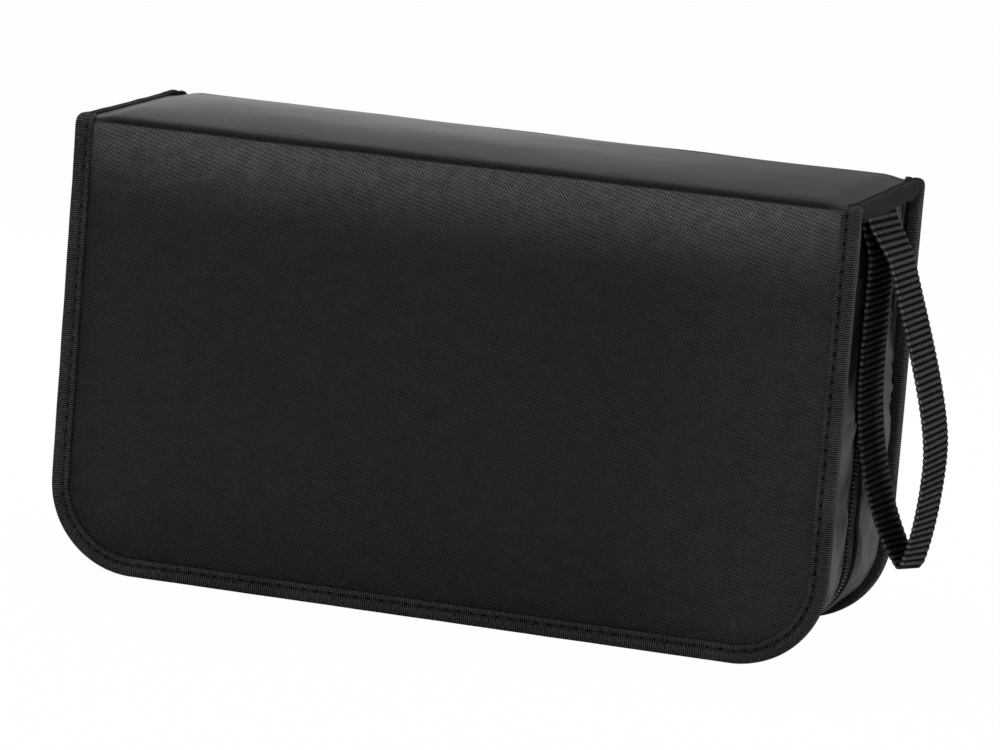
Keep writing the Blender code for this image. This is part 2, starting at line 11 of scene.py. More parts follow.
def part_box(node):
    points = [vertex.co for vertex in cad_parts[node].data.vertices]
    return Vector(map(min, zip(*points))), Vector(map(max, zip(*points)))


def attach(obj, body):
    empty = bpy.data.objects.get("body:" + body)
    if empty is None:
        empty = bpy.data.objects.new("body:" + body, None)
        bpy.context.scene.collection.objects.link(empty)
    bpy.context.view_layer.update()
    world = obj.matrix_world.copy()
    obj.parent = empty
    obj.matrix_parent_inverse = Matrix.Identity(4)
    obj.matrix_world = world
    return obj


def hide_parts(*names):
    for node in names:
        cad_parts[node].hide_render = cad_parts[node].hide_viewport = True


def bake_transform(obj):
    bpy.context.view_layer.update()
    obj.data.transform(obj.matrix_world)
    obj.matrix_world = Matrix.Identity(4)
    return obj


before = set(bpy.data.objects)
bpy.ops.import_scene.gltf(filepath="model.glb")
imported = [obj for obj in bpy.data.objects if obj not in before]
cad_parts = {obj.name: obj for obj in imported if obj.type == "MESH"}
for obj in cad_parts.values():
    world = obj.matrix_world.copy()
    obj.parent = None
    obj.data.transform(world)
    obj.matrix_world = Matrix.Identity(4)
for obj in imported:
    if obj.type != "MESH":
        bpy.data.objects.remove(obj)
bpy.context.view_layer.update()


# The covers' cloth
# Each cover is a padded board under black twill nylon. The cloth runs up the face and turns in to a sewn
# crease, where the spine's cloth rises from it. It is sewn down along its edges, so it swells between them.

FRONT, REAR, LEFT, RIGHT = -1, 1, -1, 1
corner_low, corner_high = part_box("front_binding")
case_left, case_right = corner_low.x, corner_high.x
case_top = corner_high.z
case_face = -corner_low.y
case_middle = (case_left + case_right) / 2
case_half = (case_right - case_left) / 2
case_heart = Vector((case_middle, 0, case_top / 2))
corner_radius = 0.034
hinge_y = 0.0468
hinge_z = 0.1668
cloth_depth = 0.0012
cloth_thickness = 0.0014
cloth_crown = 0.0036
binding_width = 0.0070
roll_radius = 0.0030
# Hollows beside the right seam: distance from the edge, half width, height, half height and depth.
seam_hollows = [(0.0165, 0.0045, 0.095, 0.045, 0.0024), (0.0300, 0.0060, 0.080, 0.030, 0.0014)]
# The cloth's way through the crease at the fold, as depths from the face and heights.
crease = [
    (0.00122, 0.1675), (0.0014, 0.1681), (0.0018, 0.1685), (0.0024, 0.1686), (0.0030, 0.1683), (0.0034, 0.1686),
    (0.0035, 0.1693), (0.0036, 0.1700), (0.0039, 0.1706), (0.0044, 0.1710), (0.0052, 0.1713), (0.0066, 0.1715),
    (0.0082, 0.1716),
]


def eased(share):
    """A smooth rise from 0 at 0 to 1 at 1, level on both sides."""
    share = min(max(share, 0), 1)
    return share * share * (3 - 2 * share)


def warped_grid(columns, rows, place, weave=None):
    """A square grid laid into place(u, v), with its UV map in metres from weave(u, v)."""
    bm = bmesh.new()
    bm.loops.layers.uv.new("weave")
    bmesh.ops.create_grid(bm, x_segments=columns, y_segments=rows, size=0.5, calc_uvs=True)
    sheet_uv = bm.loops.layers.uv.active
    spots = {vert: (vert.co.x + 0.5, vert.co.y + 0.5) for vert in bm.verts}
    for face in bm.faces:
        for loop in face.loops:
            u, v = spots[loop.vert]
            loop[sheet_uv].uv = weave(u, v) if weave else (u, v)
    for vert, (u, v) in spots.items():
        vert.co = place(u, v)
    return bm


def turn_outwards(bm):
    """Turns a cloth's faces away from the case's heart."""
    bm.normal_update()
    if sum(vert.normal.dot(vert.co - case_heart) for vert in bm.verts) < 0:
        bmesh.ops.reverse_faces(bm, faces=bm.faces)
        bm.normal_update()


def let_swell(bm, held, push, slack, reach):
    """Lets a cloth swell and buckle between its seams, in a short simulation. No point moves past its reach."""
    turn_outwards(bm)
    mesh = bpy.data.meshes.new("loose_cloth")
    bm.to_mesh(mesh)
    loose = bpy.data.objects.new("loose_cloth", mesh)
    bpy.context.scene.collection.objects.link(loose)
    seam = loose.vertex_groups.new(name="seam")
    seam.add([index for index, vert in enumerate(bm.verts) if held(vert.co)], 1.0, "REPLACE")
    cloth = loose.modifiers.new("cloth", "CLOTH")
    cloth.collision_settings.use_collision = False
    cloth.settings.vertex_group_mass = "seam"
    cloth.settings.quality = 5
    cloth.settings.bending_stiffness = 0.5
    cloth.settings.use_pressure = True
    cloth.settings.uniform_pressure_force = push
    cloth.settings.shrink_min = cloth.settings.shrink_max = -slack
    cloth.settings.effector_weights.gravity = 0
    for number in range(1, 21):
        bpy.context.scene.frame_set(number)
    settled = loose.evaluated_get(bpy.context.evaluated_depsgraph_get()).data
    places = [point.co.copy() for point in settled.vertices]
    for vert, place in zip(bm.verts, places):
        step = place - vert.co
        room = max(reach(vert.co), 1e-6)
        vert.co += step * math.tanh(step.length / room) * room / max(step.length, 1e-9)
    bpy.context.scene.frame_set(1)
    bpy.data.objects.remove(loose)
    bpy.data.meshes.remove(mesh)


def closed_sheet(bm, thickness):
    """Gives an open cloth its back skin, a thickness behind it, and joins the two along their rims."""
    turn_outwards(bm)
    mesh = bpy.data.meshes.new("back_skin")
    bm.to_mesh(mesh)
    for behind, vert in zip(mesh.vertices, bm.verts):
        behind.co = vert.co - vert.normal * thickness
    bm.from_mesh(mesh)
    bpy.data.meshes.remove(mesh)
    bmesh.ops.bridge_loops(bm, edges=[edge for edge in bm.edges if edge.is_boundary])
    return bm


def new_piece(name, bm, finish, sharp=50):
    """A finished mesh object at the origin, with faces out and smooth up to an angle."""
    bmesh.ops.remove_doubles(bm, verts=bm.verts, dist=1e-6)
    bmesh.ops.recalc_face_normals(bm, faces=bm.faces)
    mesh = bpy.data.meshes.new(name)
    bm.to_mesh(mesh)
    bm.free()
    mesh.shade_smooth()
    mesh.set_sharp_from_angle(angle=math.radians(sharp))
    mesh.materials.append(finish)
    made = bpy.data.objects.new(name, mesh)
    bpy.context.scene.collection.objects.link(made)
    return made


class Wire:
    """A socket in a material's nodes, so that shader maths reads as plain arithmetic."""

    def __init__(self, tree, socket=None):
        self.tree = tree
        self.socket = socket

    def node(self, kind, settings=None, values=None, out=0):
        made = self.tree.nodes.new(kind)
        for name, value in (settings or {}).items():
            setattr(made, name, value)
        for name, value in (values or {}).items():
            if isinstance(value, Wire):
                self.tree.links.new(value.socket, made.inputs[name])
            else:
                made.inputs[name].default_value = value
        return Wire(self.tree, made.outputs[out])

    def math(self, operation, *values, clamp=False):
        return self.node("ShaderNodeMath", {"operation": operation, "use_clamp": clamp}, dict(enumerate(values)))

    def __add__(self, other):
        return self.math("ADD", self, other)

    def __sub__(self, other):
        return self.math("SUBTRACT", self, other)

    def __rsub__(self, other):
        return self.math("SUBTRACT", other, self)

    def __mul__(self, other):
        return self.math("MULTIPLY", self, other)

    __radd__ = __add__
    __rmul__ = __mul__

    def size(self):
        return self.math("ABSOLUTE", self)

    def wave(self, pitch):
        """A sine from -1 to 1 that repeats every pitch."""
        return self.math("SINE", self * (2 * math.pi / pitch))

    def step(self, low, high):
        """A smooth rise from 0 at low to 1 at high."""
        share = self.math("DIVIDE", self - low, high - low, clamp=True)
        return share * share * (3 - 2 * share)

    def cloudy(self, scale, detail=2.0):
        """Soft noise about 0, from about -0.5 to 0.5."""
        return self.node("ShaderNodeTexNoise", {}, {"Vector": self, "Scale": scale, "Detail": detail}) - 0.5

    def part(self, axis):
        return self.node("ShaderNodeSeparateXYZ", {}, {0: self}, axis)

    def shade(self, dark, light, most=6.0):
        """A colour between two greys or colours, with this wire as the share. Most is the share's limit."""
        ends = [(*c, 1.0) if isinstance(c, tuple) else (c, c * 1.03, c * 0.99, 1.0) for c in (dark, light)]
        share = self.math("MINIMUM", self.math("MAXIMUM", self, 0.0), most)
        settings = {"data_type": "RGBA", "clamp_factor": False}
        return self.node("ShaderNodeMix", settings, {0: share, 6: ends[0], 7: ends[1]}, 2)

    def bump(self, distance, strength=1.0):
        return self.node("ShaderNodeBump", {}, {"Height": self, "Distance": distance, "Strength": strength})


def new_finish(name, settings, coordinates="Object"):
    """A material with its shader's plain sockets set, and a wire to its coordinates."""
    made = bpy.data.materials.new(name)
    made.use_nodes = True
    shader = made.node_tree.nodes["Principled BSDF"]
    for socket, value in settings.items():
        shader.inputs[socket].default_value = value
    return made, shader, Wire(made.node_tree).node("ShaderNodeTexCoord", out=coordinates)


def feed(shader, socket, wire):
    wire.tree.links.new(wire.socket, shader.inputs[socket])


twill_settings = {"Sheen Weight": 0.10, "Sheen Roughness": 0.30, "Specular IOR Level": 0.26, "Roughness": 0.52}
twill, shader, spot = new_finish("black_twill", twill_settings, "UV")
stray = spot.cloudy(900.0) * 0.14
across = spot.part("X") * 1000 + stray
along = spot.part("Y") * 1000 + stray
rising = (across * 0.822 + along * 0.700).wave(1.0)
falling = (across * 0.834 - along * 0.740).wave(1.0)
floats = (across * 0.167 + along * 0.655).wave(1.0)
weave = rising * 0.42 + falling * 0.26 + floats * 0.14 + 0.5
clouds = spot.cloudy(14.0, 3.0) * 0.25 + spot.cloudy(110.0, 3.0) * 0.35 + spot.cloudy(260.0) * 0.5
# Millimetres of cloth from its foot to the fold, to the spine's middle, and from there to the spine's edge.
fold_at, spine_at, spine_share = 168.0, 216.0, 1 / 43.0
# Painted highlight: over the last 50 mm below the crease the cloth's colour grows several times lighter, where its
# upturned top catches the overhead light. The face is also lighter towards the case's right end.
near_fold = along.step(fold_at - 50.0, fold_at)
painted_highlight_and_lightening = near_fold * near_fold * near_fold * (1 - along.step(fold_at - 2.0, fold_at)) * 3.7
painted_highlight_and_lightening = painted_highlight_and_lightening + across.step(60.0, 140.0) * (1 - along.step(fold_at, fold_at + 1.0)) * 0.5
# Painted shade: along the crease, from the fold to the spine's rising edge, the colour is made 0.6 darker, as
# shade falls in the groove.
folded = along.step(fold_at, fold_at + 0.9) * (1 - along.step(fold_at + 4.6, fold_at + 9.5))
feed(shader, "Base Color", ((weave + clouds) * (1 - folded * 0.6) * (0.72 + painted_highlight_and_lightening)).shade(0.0008, 0.0430))
over_spine = along.math("MINIMUM", ((along - spine_at) * spine_share).size(), 1.0)
rounding = over_spine * over_spine * 36.0
feed(shader, "Normal", (weave - rounding).bump(0.00026, 0.7))


def face_swell(x, z):
    """How far the padding lifts the cloth at a place on a cover, from 0 under the binding to 1."""
    reach = max(abs(x - case_middle) - (case_half - corner_radius), 0)
    drop = max(corner_radius - z, 0)
    low = corner_radius - math.sqrt(max(corner_radius**2 - reach**2, 0)) + binding_width
    half = case_half - binding_width
    across = min(abs(x - case_middle) / half, 1)
    below = max(1 - (z - low) / 0.040, 0)
    above = max(1 - (hinge_z - z) / 0.036, 0)
    edge = min(max((corner_radius - math.hypot(reach, drop) - binding_width) / 0.008, 0), 1)
    return edge * (1 - across**7) * max(1 - min(below, 1) ** 3, 0) * (1 - above**2.4)


def cover_rows(edge):
    """(height, step into the crease, half width) up a cover: its round bottom corners, its face, its crease."""
    half = case_half - edge
    radius = corner_radius - edge
    rows = []
    for step in range(12):
        angle = math.pi / 2 * step / 12
        round_half = case_half - corner_radius + radius * math.sin(angle)
        rows.append((corner_radius - radius * math.cos(angle), 0, round_half))
    for step in range(50):
        rows.append((corner_radius + (hinge_z - 0.006 - corner_radius) * step / 50, 0, half))
    for step in range(7):
        rows.append((hinge_z - 0.006 + 0.001 * step, 0, half))
    for step in range(1, len(crease) + 1):
        rows.append((hinge_z, step, half))
    return rows


rows = cover_rows(cloth_depth)
row_lengths = [0.0]
for (low, before, _), (high, after, _) in zip(rows, rows[1:]):
    ends = [crease[step - 1] if step else (cloth_depth, height) for step, height in ((before, low), (after, high))]
    row_lengths.append(row_lengths[-1] + math.dist(*ends))


def crease_lift(x):
    """From 0 under the binding at an end of the fold to 1 where the crease has its full form."""
    return eased((case_half - binding_width - abs(x - case_middle)) / 0.010 + 0.2)


def cover_point(u, v, side):
    """A point of a cover's cloth, on its face or in its crease."""
    height, step, half = rows[round(v * (len(rows) - 1))]
    x = case_middle + (2 * u - 1) * half
    if step == 0:
        swell = face_swell(x, height)
        soft = noise.noise(Vector((x * 16, height * 22, side * 3.0))) * 0.0006
        dip = 0.0
        for from_edge, half_width, middle, half_height, depth in seam_hollows:
            beside = ((case_right - x - from_edge) / half_width) ** 2
            dip += depth * math.exp(-beside) * math.exp(-(((height - middle) / half_height) ** 2))
        lift = cloth_crown * swell + (soft - dip) * min(swell * 2, 1)
        return Vector((x, side * (case_face - cloth_depth + lift), height))
    depth, rise = crease[step - 1]
    angle = math.pi / 2 * min(step / (len(crease) - 2), 1)
    tail = max(depth - (case_face - hinge_y), 0) if step > len(crease) - 2 else 0
    round_y = hinge_y + roll_radius * math.cos(angle) - tail
    round_z = hinge_z + roll_radius * math.sin(angle)
    share = crease_lift(x)
    sag = noise.noise(Vector((x * 30, side * 4.0, 1.0))) * 0.0003 * share
    y = round_y + (case_face - depth - round_y) * share
    return Vector((x, side * y, round_z + (rise + sag - round_z) * share))


def cover_weave(u, v):
    row = round(v * (len(rows) - 1))
    return (2 * u - 1) * rows[row][2], row_lengths[row]


for name, side in (("front", FRONT), ("rear", REAR)):
    bm = warped_grid(110, len(rows) - 1, lambda u, v: cover_point(u, v, side), cover_weave)
    let_swell(
        bm,
        lambda place: place.z > hinge_z - 0.0008 or face_swell(place.x, place.z) < 0.02,
        6.0,
        0.003,
        lambda place: 0.0009,
    )
    cloth = new_piece(f"{name}_cover_cloth", closed_sheet(bm, cloth_thickness), twill)
    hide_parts(f"{name}_cover_fabric")
    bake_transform(cloth)


# The spine's cloth
# The same cloth over the stiff spine, between the two creases. It is thinly padded, so it lies nearly flat,
# with slow hollows where the board underneath gives.

spine_crown = 0.0022
spine_half = case_face - crease[-1][0]


def spine_point(u, v):
    x = case_middle + (2 * u - 1) * (case_half - cloth_depth)
    share = 2 * v - 1
    from_end = case_half - abs(x - case_middle)
    drawn = min(max((from_end - 0.004) / 0.038, 0), 1)
    soft = noise.noise(Vector((x * 15, v * 2.2, 7.0))) * 0.0012
    soft += noise.noise(Vector((x * 45, v * 5.0, 2.0))) * 0.0004
    lift = (spine_crown * (1 - share**2) + soft * (1 - share**2) ** 1.5) * drawn * (2 - drawn)
    edge = hinge_z + roll_radius
    return Vector((x, share * spine_half, edge + (crease[-1][1] - edge + lift) * crease_lift(x)))


def spine_weave(u, v):
    return ((2 * u - 1) * (case_half - cloth_depth), row_lengths[-1] + v * 2 * spine_half)


bm = warped_grid(110, 24, spine_point, spine_weave)
spine_cloth = new_piece("spine_cloth", closed_sheet(bm, cloth_thickness), twill)
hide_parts("spine_fabric")
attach(spine_cloth, "spine")


# The edge binding
# Ribbed grosgrain tape is folded over the raw edges of each cover and of the spine's ends, and sewn down
# with one line of lockstitch, which pulls a shallow groove into it. The tape on the spine is a darker copy of
# the same finish: painted shade that keeps its upturned face as dark as the tapes on the sides.

turn_radius = 0.0042
stitch_pitch = 0.0050
stitch_inset = 0.0043
drop_length = hinge_z - corner_radius
arc_length = math.pi / 2 * corner_radius
base_length = case_right - case_left - 2 * corner_radius
edge_length = 2 * drop_length + 2 * arc_length + base_length

binding_profile = [
    (0.0070, 0.0010), (0.0071, 0.0005), (0.0068, 0.0001), (0.0060, -0.0001), (0.0052, 0.0000), (0.0046, 0.0003),
    (0.0043, 0.0005), (0.0040, 0.0003), (0.0034, -0.0001), (0.0024, -0.0002), (0.0014, -0.0001), (0.0006, 0.0004),
    (0.0001, 0.0012), (-0.0001, 0.0025), (0.0000, 0.0039), (0.0003, 0.0052), (0.0009, 0.0060), (0.0018, 0.0064),
    (0.0030, 0.0064), (0.0042, 0.0063), (0.0042, 0.0056), (0.0024, 0.0055), (0.0011, 0.0050), (0.0010, 0.0030),
    (0.0012, 0.0012), (0.0040, 0.0012),
]
face_points = 11
profile_lengths = [0.0]
for here, there in zip(binding_profile, binding_profile[1:] + binding_profile[:1]):
    profile_lengths.append(profile_lengths[-1] + math.dist(here, there))

tape_settings = {"Sheen Weight": 0.04, "Sheen Roughness": 0.5, "Specular IOR Level": 0.02, "Roughness": 0.6}
grosgrains = []
# The spine's tapes get the same grosgrain with a far darker pale end: painted shade for the tape lying on top
# under the overhead light.
for name, pale_ribs in (("ribbed_binding", 0.1350), ("spine_binding", 0.0300)):
    grosgrain, shader, spot = new_finish(name, tape_settings, "UV")
    run = spot.part("X") * 1000 + spot.cloudy(300.0) * 0.5
    across = spot.part("Y") * 1000
    ribs = run.wave(0.80) * 0.5 + 0.5
    threads = across.wave(0.55) * 0.5 + 0.5
    sewn = 1 - (across - (7.2 - stitch_inset * 1000)).size().step(0.15, 0.80)
    beat = run * (1 / (stitch_pitch * 1000))
    hole = (beat.math("FRACT", beat) - 0.5).size().step(0.30, 0.45) * sewn
    rim = 1 - across.step(0.1, 0.8)
    worn = spot.cloudy(45.0, 3.0) * 0.5 + spot.cloudy(700.0) * 0.5
    # Painted shade: the needle holes, the groove the stitches pull and the tape's inner edge are darkened in the
    # colour, as shade falls in them.
    tone = (ribs * ribs * 0.85 + threads * 0.15 + worn) * (1 - hole * 0.95) * (1 - sewn * 0.35) * (1 - rim * 0.8)
    feed(shader, "Base Color", tone.shade(0.0012, pale_ribs))
    feed(shader, "Normal", (ribs * 0.8 + threads * 0.2 - hole).bump(0.0004, 0.9))
    grosgrains.append(grosgrain)


def edge_frame(run, side):
    """The binding's outer corner line: a place, the way into the panel and the way back through it."""
    back = Vector((0, -side, 0))
    if run < 0 or run > edge_length:
        end = LEFT if run < 0 else RIGHT
        over = -run if run < 0 else run - edge_length
        angle = min(over / turn_radius, math.pi / 2)
        out = Vector((0, side * math.cos(angle), math.sin(angle)))
        x = case_left if end == LEFT else case_right
        return Vector((x, side * hinge_y, hinge_z)) + out * turn_radius, Vector((-end, 0, 0)), -out
    y = side * case_face
    if run <= drop_length:
        return Vector((case_left, y, hinge_z - run)), Vector((1, 0, 0)), back
    run -= drop_length
    if run <= arc_length:
        angle = run / corner_radius
        out = Vector((-math.cos(angle), 0, -math.sin(angle)))
        return Vector((case_left + corner_radius, y, corner_radius)) + out * corner_radius, -out, back
    run -= arc_length
    if run <= base_length:
        return Vector((case_left + corner_radius + run, y, 0)), Vector((0, 0, 1)), back
    run -= base_length
    if run <= arc_length:
        angle = run / corner_radius
        out = Vector((math.sin(angle), 0, -math.cos(angle)))
        return Vector((case_right - corner_radius, y, corner_radius)) + out * corner_radius, -out, back
    return Vector((case_right, y, corner_radius + run - arc_length)), Vector((-1, 0, 0)), back


def pressed(gap_to_turn):
    """How thin the folded tape is pressed at and near the fold."""
    return 0.62 + 0.38 * min(max(gap_to_turn / 0.008, 0), 1)


def taped_edge(line, low, high, spacing, thinning, reach=lambda run: 1.0, hem=0.0):
    """The binding's section carried along a line from low to high. Reach narrows its face, hem makes it wavy."""
    stations = round((high - low) / spacing)
    ring = len(binding_profile)

    def place(u, v):
        run = low + (high - low) * u
        origin, inward, back = line(run)
        point = round(v * ring) % ring
        inset, depth = binding_profile[point]
        if point <= face_points or point == ring - 1:
            inset *= reach(run)
        from_stitch = (inset - stitch_inset) / 0.0014
        pucker = 0.00016 * math.cos(2 * math.pi * run / stitch_pitch) * math.exp(-(from_stitch**2))
        slack = noise.noise(Vector((run * 70, inset * 120, low * 9 + 4))) * 0.00030
        depth = depth * thinning(run) + (pucker + slack if depth < 0.002 else 0)
        if depth > 0.0024:
            depth += hem * noise.noise(Vector((run * 90, 2.0, low * 9)))
        return origin + inward * inset + back * depth

    def weave(u, v):
        return low + (high - low) * u, profile_lengths[round(v * ring)]

    bm = warped_grid(stations, ring, place, weave)
    bmesh.ops.remove_doubles(bm, verts=bm.verts, dist=1e-6)
    bmesh.ops.holes_fill(bm, edges=[edge for edge in bm.edges if edge.is_boundary], sides=0)
    return bm


thread_settings = {"Roughness": 0.45, "Specular IOR Level": 0.3, "Sheen Weight": 0.1}
thread, shader, spot = new_finish("sewing_thread", thread_settings)
feed(shader, "Base Color", (spot.cloudy(700.0) + 0.5).shade(0.004, 0.030))


def bead(rings, around):
    """A small ball of few faces, to be stamped into a piece many times."""
    bm = bmesh.new()
    bmesh.ops.create_uvsphere(bm, u_segments=around, v_segments=rings, radius=1.0)
    mesh = bpy.data.meshes.new("bead")
    bm.to_mesh(mesh)
    bm.free()
    return mesh


def stamp(bm, template, place, axes, size):
    """Adds one bead at a place, with its three half sizes along three axes."""
    matrix = Matrix.Translation(place) @ Matrix(axes).transposed().to_4x4() @ Matrix.Diagonal((*size, 1.0))
    template.transform(matrix)
    bm.from_mesh(template)
    template.transform(matrix.inverted())


stitch_bead = bead(5, 6)


def sew(bm, place, along, lift, half=0.0017):
    """One stitch, as a low bead that lies along the seam."""
    stamp(bm, stitch_bead, place, (along.cross(lift).normalized(), lift, along), (0.00027, 0.00022, half))


for name, side in (("front", FRONT), ("rear", REAR)):
    over = turn_radius * math.pi / 2
    bm = taped_edge(
        lambda run: edge_frame(run, side),
        -over,
        edge_length + over,
        0.0012,
        lambda run: pressed(min(run, edge_length - run)),
    )
    binding = new_piece(f"{name}_binding_tape", bm, grosgrains[0], 75)
    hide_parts(f"{name}_binding")
    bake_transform(binding)
    bm = bmesh.new()
    for number in range(1, int(edge_length / stitch_pitch)):
        origin, inward, back = edge_frame((number + 0.5) * stitch_pitch, side)
        ahead, ahead_in, _ = edge_frame((number + 0.6) * stitch_pitch, side)
        here = origin + inward * stitch_inset
        sew(bm, here + back * 0.00020, (ahead + ahead_in * stitch_inset - here).normalized(), -back)
    stitches = new_piece(f"{name}_binding_stitches", bm, thread, 80)
    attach(stitches, f"{name}_cover")


def spine_dip(run):
    """How far the tape over a spine's end lies below the turned ends of the covers' tapes."""
    return 0.0006 * min((hinge_y - abs(run)) / 0.010, 1)


for name, end, share in (("left", LEFT, 0.50), ("right", RIGHT, 0.84)):
    x = case_left if end == LEFT else case_right
    bm = taped_edge(
        lambda run: (Vector((x, run, case_top - spine_dip(run))), Vector((-end, 0, 0)), Vector((0, 0, -1))),
        -hinge_y,
        hinge_y,
        0.0012,
        lambda run: pressed(hinge_y - abs(run)),
        lambda run: 1 - (1 - share) * min((hinge_y - abs(run)) / 0.007, 1),
        0.0009,
    )
    binding = new_piece(f"spine_tape_{name}", bm, grosgrains[1], 75)
    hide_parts(f"spine_binding_{name}")
    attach(binding, "spine")
    bm = bmesh.new()
    for number in range(-7, 8):
        place = Vector((x - end * stitch_inset * share, number * stitch_pitch, case_top - 0.00078))
        sew(bm, place, Vector((0, 1, 0)), Vector((0, 0, 1)))
    stitches = new_piece(f"spine_stitches_{name}", bm, thread, 80)
    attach(stitches, "spine")


# The gusset and the zip tape
# Thin taffeta joins each cover to the zip. It is cut full, so it bags and buckles between the binding and
# the tape. The zip's woven tape is sewn to its edge with a line of stitches, and lies flatter.

wall_inset = 0.0045
wall_thickness = 0.0011
wall_start = 0.0046
wall_end = 0.0400
wall_top = 0.1410
tape_edge = 0.0145
tape_inset = 0.0061
tape_thickness = 0.0008
wall_hollow = 0.0072
wall_length = edge_length - 2 * (hinge_z - wall_top)
tape_seam = 0.0068
tape_stitch_pitch = 0.0032
strap_middle = 0.0030
strap_shelter = 0.026

taffeta_settings = {"Sheen Weight": 0.02, "Sheen Roughness": 0.4, "Specular IOR Level": 0.08, "Roughness": 0.42}
taffeta, shader, spot = new_finish("black_taffeta", taffeta_settings)
cells = (spot.part("X") * 1000 + spot.part("Z") * 700).wave(0.5) * (spot.part("Y") * 1000).wave(0.45)
# Painted shadow: on the front side towards the right end, above about 80 mm, the gusset's colour is darkened to
# nearly black. This stands in for the strap's shade over its hollow.
strap_shadow_area = spot.part("X").step(0.10, 0.11) * (1 - spot.part("Y").step(0.0, 0.02))
painted_strap_shadow = spot.part("Z").step(0.080, 0.112) * strap_shadow_area
tone = (cells * 0.25 + 0.5 + spot.cloudy(45.0, 3.0) * 0.35) * (1 - painted_strap_shadow * 0.93)
feed(shader, "Base Color", tone.shade(0.0010, 0.150))
feed(shader, "Normal", (cells * 0.05 + spot.cloudy(120.0, 4.0) * 0.9).bump(0.0009, 0.5))

woven_settings = {"Sheen Weight": 0.15, "Sheen Roughness": 0.4, "Specular IOR Level": 0.25, "Roughness": 0.55}
woven_tape, shader, spot = new_finish("woven_zip_tape", woven_settings)
slant = (spot.part("Y") * 1000 + (spot.part("X") + spot.part("Z")) * 1000).wave(0.9)
straight = (spot.part("Y") * 1000).wave(0.6)
feed(shader, "Base Color", (slant * 0.3 + straight * 0.2 + 0.5 + spot.cloudy(60.0) * 0.2).shade(0.004, 0.034))
feed(shader, "Normal", (slant * 0.6 + straight * 0.4).bump(0.00015, 0.5))


def wall_frame(run, side):
    """The case's outline at a run from the left wall's top, as a place and the way in."""
    place, inward, _ = edge_frame(run + hinge_z - wall_top, side)
    return place, inward


def wall_room(place):
    """How far slack cloth may stand out: little beside the strap at the top of the right end, more elsewhere."""
    beside_strap = abs(place.y - strap_middle) < strap_shelter
    return 0.0003 if beside_strap and place.x > case_right - 0.012 and place.z > 0.088 else 0.0024


for name, side in (("front", FRONT), ("rear", REAR)):

    def wall_point(u, v):
        place, inward = wall_frame(u * wall_length, side)
        depth = wall_start + (wall_end - wall_start) * v
        ripple = noise.noise(Vector((u * 40, v * 2.0, side * 5.0))) * 0.0003
        sunk = wall_hollow * math.sin(math.pi * min(v / 0.72, 1)) * min(max((place.z - 0.092) / 0.03, 0), 1)
        full = 0.0012 * math.sin(math.pi * v) * math.exp(-(((place.z - 0.085) / 0.02) ** 2))
        inset = wall_inset + ripple + sunk - full
        return Vector((place.x, side * (case_face - depth), place.z)) + inward * inset

    bm = warped_grid(320, 18, wall_point, lambda u, v: (u * wall_length, wall_end * v))
    sewn_low, sewn_high = case_face - wall_end + 0.0005, case_face - wall_start - 0.0005
    let_swell(
        bm,
        lambda place: not sewn_low < abs(place.y) < sewn_high or place.z > wall_top - 0.0005,
        4.0,
        0.030,
        wall_room,
    )
    gusset = new_piece(f"{name}_gusset_cloth", closed_sheet(bm, wall_thickness), taffeta, 70)
    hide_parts(f"{name}_gusset")
    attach(gusset, f"{name}_cover")

    def tape_point(u, v):
        place, inward = wall_frame(u * wall_length, side)
        wave = noise.noise(Vector((u * 60, v * 0.6, side * 3.0))) * 0.00035 * math.sin(math.pi * v)
        y = side * (tape_edge + (0.0007 - tape_edge) * v)
        return Vector((place.x, y, place.z)) + inward * (tape_inset + wave)

    bm = warped_grid(240, 6, tape_point, lambda u, v: (u * wall_length, tape_edge * v))
    tape = new_piece(f"{name}_tape_cloth", closed_sheet(bm, tape_thickness), woven_tape, 70)
    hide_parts(f"{name}_zip_tape")
    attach(tape, f"{name}_cover")
    bm = bmesh.new()
    for number in range(2, int(wall_length / tape_stitch_pitch) - 1):
        place, inward = wall_frame(number * tape_stitch_pitch, side)
        way = inward.cross(Vector((0, 1, 0)))
        sew(bm, Vector((place.x, side * tape_seam, place.z)) + inward * tape_inset, way, -inward, 0.0011)
    stitches = new_piece(f"{name}_zip_stitches", bm, thread, 80)
    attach(stitches, f"{name}_cover")


# The zip's coil
# A nylon monofilament is wound into a flat coil and sewn to each tape. Its heads lock between those of the
# other side. Its short ends by the spine are made with the gusset's ends.

coil_pitch = 0.0017
coil_inset = 0.0050
coil_near = 0.00045
coil_far = 0.0032
coil_bead = bead(6, 6)

nylon, shader, spot = new_finish("coil_nylon", {"Roughness": 0.38, "Specular IOR Level": 0.35})
feed(shader, "Base Color", (spot.cloudy(350.0) + 0.5).shade(0.006, 0.022))


def coil_turn(bm, place, inward, way, side):
    """One turn of the coil: a flattened loop with a round head towards the middle of the zip."""
    across = Vector((0, 1, 0))
    middle = place + inward * coil_inset + across * (side * (coil_near + coil_far) / 2)
    stamp(bm, coil_bead, middle, (way, inward, across), (0.00058, 0.00072, (coil_far - coil_near) / 2))


for name, side in (("front", FRONT), ("rear", REAR)):
    bm = bmesh.new()
    for number in range(int(wall_length / coil_pitch) - 1):
        place, inward = wall_frame((number + (0.75 if side == FRONT else 1.25)) * coil_pitch, side)
        coil_turn(bm, Vector((place.x, 0, place.z)), inward, inward.cross(Vector((0, 1, 0))), side)
    coil = new_piece(f"{name}_coil_turns", bm, nylon, 80)
    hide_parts(f"{name}_zip_coil")
    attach(coil, f"{name}_cover")


# The wrist strap
# A loop of 38 mm ribbed webbing is sewn in under the spine's end. It hangs down the end wall, turns sharply
# at the bottom and bows back up outside. Its own pull draws the seam at its two ends inwards.

strap_width = 0.0380
strap_thickness = 0.0016
strap_tops = (0.1636, 0.1645)
strap_lean = 0.0050
lean_start, lean_height = 0.140, 0.024
pull_start, pull_height = 0.145, 0.017
pull_rear, pull_twist = 0.0020, 0.0010
rib_pitch = 0.0024
rib_height = 0.00052
